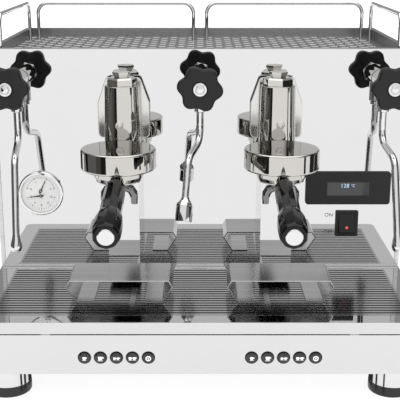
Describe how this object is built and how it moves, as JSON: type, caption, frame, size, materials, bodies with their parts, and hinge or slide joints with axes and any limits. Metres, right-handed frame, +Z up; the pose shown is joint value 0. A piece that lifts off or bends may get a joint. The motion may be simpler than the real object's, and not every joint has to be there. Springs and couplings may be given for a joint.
{
  "type": "espresso machine",
  "caption": "Two-group espresso machine with push buttons, rotary steam and water taps, dial gauge, locking portafilters, cup rails and a pull-out drip tray.",
  "frame": {"origin": "on the ground, under the middle of the machine's box", "axes": "+Z up, -Y towards the user at the front, +X to the machine's right as seen from the front"},
  "size_m": [0.597, 0.6043, 0.485],
  "materials": {
    "polished_steel": "mirror-polished stainless steel",
    "chrome": "bright chrome plate",
    "brushed_steel": "brushed",
    "plated_brass": "chromed brass",
    "black_plastic": "matt black",
    "gloss_plastic": "gloss black",
    "rubber": "matt black",
    "dial_white": "matt white print",
    "dark_glass": "smoked",
    "aluminium": "cast",
    "dark_steel": "dark"
  },
  "bodies": {
    "machine": {"foot_pads": "rubber", "foot_sleeves": "chrome", "base_pan": "brushed_steel", "front_panel": "polished_steel", "button_guides": "gloss_plastic", "rear_panel": "brushed_steel", "splash_panel": "polished_steel", "cup_tray": "polished_steel", "cup_rails": "chrome", "group_caps": "chrome", "shower_screens": "brushed_steel", "group_gaskets": "rubber", "pedestals": "polished_steel", "tap_valves": "plated_brass", "display_bezel": "black_plastic", "display_screen": "dark_glass", "switch_frame": "black_plastic", "gauge_case": "chrome", "gauge_dial": "dial_white", "boiler": "brushed_steel", "pump_motor": "aluminium", "service_fittings": "plated_brass", "pipework": "brushed_steel", "control_box": "black_plastic", "left_side_panel": "polished_steel", "left_group_head": "plated_brass", "right_side_panel": "polished_steel", "right_group_head": "plated_brass"},
    "left_steam_knob": {"left_steam_knob": "black_plastic", "left_steam_spindle": "chrome"},
    "left_steam_wand": {"left_steam_wand": "chrome"},
    "hot_water_knob": {"hot_water_knob": "black_plastic", "hot_water_spindle": "chrome"},
    "hot_water_wand": {"hot_water_wand": "chrome"},
    "right_steam_knob": {"right_steam_knob": "black_plastic", "right_steam_spindle": "chrome"},
    "right_steam_wand": {"right_steam_wand": "chrome"},
    "left_portafilter": {"left_portafilter": "plated_brass", "left_filter_basket": "brushed_steel", "left_handle": "black_plastic"},
    "left_one_small_button": {"left_one_small_button": "chrome"},
    "left_one_large_button": {"left_one_large_button": "chrome"},
    "left_two_small_button": {"left_two_small_button": "chrome"},
    "left_two_large_button": {"left_two_large_button": "chrome"},
    "left_manual_button": {"left_manual_button": "chrome"},
    "right_portafilter": {"right_portafilter": "plated_brass", "right_filter_basket": "brushed_steel", "right_handle": "black_plastic"},
    "right_one_small_button": {"right_one_small_button": "chrome"},
    "right_one_large_button": {"right_one_large_button": "chrome"},
    "right_two_small_button": {"right_two_small_button": "chrome"},
    "right_two_large_button": {"right_two_large_button": "chrome"},
    "right_manual_button": {"right_manual_button": "chrome"},
    "switch_rocker": {"switch_rocker": "black_plastic"},
    "boiler_needle": {"boiler_needle": "dark_steel"},
    "pump_needle": {"pump_needle": "dark_steel"},
    "drip_tray": {"drip_tray": "polished_steel"},
    "drip_grid": {"drip_grid": "brushed_steel"},
    "left_cup_stand": {"left_cup_stand": "brushed_steel"},
    "right_cup_stand": {"right_cup_stand": "brushed_steel"}
  },
  "joints": [
    {"name": "left_steam_knob_turn", "type": "hinge", "parent": "machine", "child": "left_steam_knob", "pos_m": [-0.257, -0.09774, 0.394], "axis": [0, -1, 0], "range_deg": [0, 270]},
    {"name": "left_steam_wand_swivel", "type": "hinge", "parent": "machine", "child": "left_steam_wand", "pos_m": [-0.257, -0.02674, 0.358], "axis": [0, 0, 1], "range_deg": [-50, 40]},
    {"name": "hot_water_knob_turn", "type": "hinge", "parent": "machine", "child": "hot_water_knob", "pos_m": [0, -0.09774, 0.394], "axis": [0, -1, 0], "range_deg": [0, 270]},
    {"name": "hot_water_wand_swivel", "type": "hinge", "parent": "machine", "child": "hot_water_wand", "pos_m": [0, -0.02674, 0.358], "axis": [0, 0, 1], "range_deg": [-30, 60]},
    {"name": "right_steam_knob_turn", "type": "hinge", "parent": "machine", "child": "right_steam_knob", "pos_m": [0.257, -0.09774, 0.394], "axis": [0, -1, 0], "range_deg": [0, 270]},
    {"name": "right_steam_wand_swivel", "type": "hinge", "parent": "machine", "child": "right_steam_wand", "pos_m": [0.257, -0.02674, 0.358], "axis": [0, 0, 1], "range_deg": [-51.3, 38.7]},
    {"name": "left_portafilter_lock", "type": "hinge", "parent": "machine", "child": "left_portafilter", "pos_m": [-0.1085, -0.11074, 0.3056], "axis": [0, 0, 1], "range_deg": [-50, 0]},
    {"name": "left_one_small_button_press", "type": "slide", "parent": "machine", "child": "left_one_small_button", "axis": [0, 1, 0], "range_m": [0, 0.0015], "stiffness_N_per_m": 400, "springref_m": -0.001},
    {"name": "left_one_large_button_press", "type": "slide", "parent": "machine", "child": "left_one_large_button", "axis": [0, 1, 0], "range_m": [0, 0.0015], "stiffness_N_per_m": 400, "springref_m": -0.001},
    {"name": "left_two_small_button_press", "type": "slide", "parent": "machine", "child": "left_two_small_button", "axis": [0, 1, 0], "range_m": [0, 0.0015], "stiffness_N_per_m": 400, "springref_m": -0.001},
    {"name": "left_two_large_button_press", "type": "slide", "parent": "machine", "child": "left_two_large_button", "axis": [0, 1, 0], "range_m": [0, 0.0015], "stiffness_N_per_m": 400, "springref_m": -0.001},
    {"name": "left_manual_button_press", "type": "slide", "parent": "machine", "child": "left_manual_button", "axis": [0, 1, 0], "range_m": [0, 0.0015], "stiffness_N_per_m": 400, "springref_m": -0.001},
    {"name": "right_portafilter_lock", "type": "hinge", "parent": "machine", "child": "right_portafilter", "pos_m": [0.1085, -0.11074, 0.3056], "axis": [0, 0, 1], "range_deg": [-50, 0]},
    {"name": "right_one_small_button_press", "type": "slide", "parent": "machine", "child": "right_one_small_button", "axis": [0, 1, 0], "range_m": [0, 0.0015], "stiffness_N_per_m": 400, "springref_m": -0.001},
    {"name": "right_one_large_button_press", "type": "slide", "parent": "machine", "child": "right_one_large_button", "axis": [0, 1, 0], "range_m": [0, 0.0015], "stiffness_N_per_m": 400, "springref_m": -0.001},
    {"name": "right_two_small_button_press", "type": "slide", "parent": "machine", "child": "right_two_small_button", "axis": [0, 1, 0], "range_m": [0, 0.0015], "stiffness_N_per_m": 400, "springref_m": -0.001},
    {"name": "right_two_large_button_press", "type": "slide", "parent": "machine", "child": "right_two_large_button", "axis": [0, 1, 0], "range_m": [0, 0.0015], "stiffness_N_per_m": 400, "springref_m": -0.001},
    {"name": "right_manual_button_press", "type": "slide", "parent": "machine", "child": "right_manual_button", "axis": [0, 1, 0], "range_m": [0, 0.0015], "stiffness_N_per_m": 400, "springref_m": -0.001},
    {"name": "switch_rocker_tip", "type": "hinge", "parent": "machine", "child": "switch_rocker", "pos_m": [0.2176, 0.00426, 0.1785], "axis": [1, 0, 0], "range_deg": [0, 16]},
    {"name": "boiler_needle_swing", "type": "hinge", "parent": "machine", "child": "boiler_needle", "pos_m": [-0.2341, 0.00176, 0.2285], "axis": [0, 1, 0], "range_deg": [-105, 55], "stiffness_Nm_per_rad": 0.001},
    {"name": "pump_needle_swing", "type": "hinge", "parent": "machine", "child": "pump_needle", "pos_m": [-0.2341, 0.00176, 0.2211], "axis": [0, -1, 0], "range_deg": [0, 166], "stiffness_Nm_per_rad": 0.001, "springref_deg": -2.86},
    {"name": "drip_tray_pull", "type": "slide", "parent": "machine", "child": "drip_tray", "axis": [0, -1, 0], "range_m": [0, 0.18]},
    {"name": "drip_grid_lift", "type": "slide", "parent": "drip_tray", "child": "drip_grid", "axis": [0, 0, 1], "range_m": [0, 0.014]},
    {"name": "left_cup_stand_lift", "type": "slide", "parent": "drip_grid", "child": "left_cup_stand", "axis": [0, 0, 1], "range_m": [0, 0.06]},
    {"name": "right_cup_stand_lift", "type": "slide", "parent": "drip_grid", "child": "right_cup_stand", "axis": [0, 0, 1], "range_m": [0, 0.06]}
  ]
}
